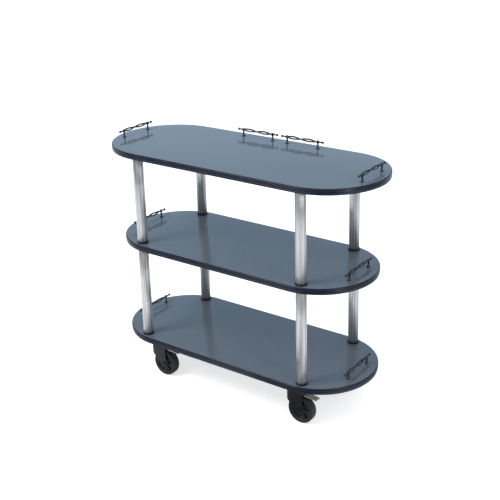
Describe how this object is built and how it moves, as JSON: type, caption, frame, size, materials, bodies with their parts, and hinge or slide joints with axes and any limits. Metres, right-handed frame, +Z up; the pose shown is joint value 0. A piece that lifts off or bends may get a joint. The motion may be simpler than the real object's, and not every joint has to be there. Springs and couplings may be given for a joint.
{
  "type": "food service trolley",
  "caption": "Oval-ended service trolley with laminate shelves on bright tubular posts, small gallery rails and black swivel casters.",
  "frame": {"origin": "on the floor, under the centre of the shelves", "axes": "+X along the length, +Y towards the side with the two back rails, +Z up"},
  "size_m": [1.13, 0.441, 0.93],
  "materials": {
    "laminate": "slate blue plastic laminate on a particle board core, satin",
    "edge_moulding": "glossy dark navy vinyl",
    "post_steel": "bright polished tube",
    "collar_rubber": "black",
    "plated_steel": "bright zinc plate",
    "rail_chrome": "bright chrome",
    "black_steel": "black satin",
    "wheel_core": "dark grey moulded",
    "tyre": "black rubber"
  },
  "bodies": {
    "chassis": {"bottom_shelf_board": "laminate", "bottom_shelf_band": "edge_moulding", "middle_shelf_board": "laminate", "middle_shelf_band": "edge_moulding", "top_shelf_board": "laminate", "top_shelf_band": "edge_moulding", "post_lower_front_left": "post_steel", "post_collar_lower_front_left": "collar_rubber", "post_upper_front_left": "post_steel", "post_collar_upper_front_left": "collar_rubber", "tie_bolt_front_left": "plated_steel", "post_lower_front_right": "post_steel", "post_collar_lower_front_right": "collar_rubber", "post_upper_front_right": "post_steel", "post_collar_upper_front_right": "collar_rubber", "tie_bolt_front_right": "plated_steel", "post_lower_rear_left": "post_steel", "post_collar_lower_rear_left": "collar_rubber", "post_upper_rear_left": "post_steel", "post_collar_upper_rear_left": "collar_rubber", "tie_bolt_rear_left": "plated_steel", "post_lower_rear_right": "post_steel", "post_collar_lower_rear_right": "collar_rubber", "post_upper_rear_right": "post_steel", "post_collar_upper_rear_right": "collar_rubber", "tie_bolt_rear_right": "plated_steel", "rail_top_back_left": "rail_chrome", "rail_top_back_right": "rail_chrome", "rail_top_left": "rail_chrome", "rail_top_right": "rail_chrome", "rail_middle_left": "rail_chrome", "rail_middle_right": "rail_chrome", "rail_bottom_left": "rail_chrome", "rail_bottom_right": "rail_chrome", "caster_plate_front_left": "plated_steel", "caster_plate_front_right": "plated_steel", "caster_plate_rear_left": "plated_steel", "caster_plate_rear_right": "plated_steel"},
    "caster_front_left": {"caster_fork_front_left": "black_steel", "caster_axle_front_left": "black_steel"},
    "wheel_front_left": {"wheel_core_front_left": "wheel_core", "wheel_tyre_front_left": "tyre"},
    "brake_front_left": {"caster_brake_front_left": "plated_steel"},
    "caster_front_right": {"caster_fork_front_right": "black_steel", "caster_axle_front_right": "black_steel"},
    "wheel_front_right": {"wheel_core_front_right": "wheel_core", "wheel_tyre_front_right": "tyre"},
    "brake_front_right": {"caster_brake_front_right": "plated_steel"},
    "caster_rear_left": {"caster_fork_rear_left": "black_steel", "caster_axle_rear_left": "black_steel"},
    "wheel_rear_left": {"wheel_core_rear_left": "wheel_core", "wheel_tyre_rear_left": "tyre"},
    "caster_rear_right": {"caster_fork_rear_right": "black_steel", "caster_axle_rear_right": "black_steel"},
    "wheel_rear_right": {"wheel_core_rear_right": "wheel_core", "wheel_tyre_rear_right": "tyre"}
  },
  "joints": [
    {"name": "swivel_front_left", "type": "hinge", "parent": "chassis", "child": "caster_front_left", "pos_m": [-0.312, -0.16, 0.1275], "axis": [0, 0, 1], "continuous": true},
    {"name": "wheel_spin_front_left", "type": "hinge", "parent": "caster_front_left", "child": "wheel_front_left", "pos_m": [-0.283, -0.16, 0.051], "axis": [0, 1, 0], "continuous": true},
    {"name": "brake_press_front_left", "type": "hinge", "parent": "caster_front_left", "child": "brake_front_left", "pos_m": [-0.282, -0.16, 0.112], "axis": [0, 1, 0], "range_deg": [0, 10]},
    {"name": "swivel_front_right", "type": "hinge", "parent": "chassis", "child": "caster_front_right", "pos_m": [0.312, -0.16, 0.1275], "axis": [0, 0, 1], "continuous": true},
    {"name": "wheel_spin_front_right", "type": "hinge", "parent": "caster_front_right", "child": "wheel_front_right", "pos_m": [0.341, -0.16, 0.051], "axis": [0, 1, 0], "continuous": true},
    {"name": "brake_press_front_right", "type": "hinge", "parent": "caster_front_right", "child": "brake_front_right", "pos_m": [0.342, -0.16, 0.112], "axis": [0, 1, 0], "range_deg": [0, 10]},
    {"name": "swivel_rear_left", "type": "hinge", "parent": "chassis", "child": "caster_rear_left", "pos_m": [-0.312, 0.16, 0.1275], "axis": [0, 0, 1], "continuous": true},
    {"name": "wheel_spin_rear_left", "type": "hinge", "parent": "caster_rear_left", "child": "wheel_rear_left", "pos_m": [-0.283, 0.16, 0.051], "axis": [0, 1, 0], "continuous": true},
    {"name": "swivel_rear_right", "type": "hinge", "parent": "chassis", "child": "caster_rear_right", "pos_m": [0.312, 0.16, 0.1275], "axis": [0, 0, 1], "continuous": true},
    {"name": "wheel_spin_rear_right", "type": "hinge", "parent": "caster_rear_right", "child": "wheel_rear_right", "pos_m": [0.341, 0.16, 0.051], "axis": [0, 1, 0], "continuous": true}
  ]
}
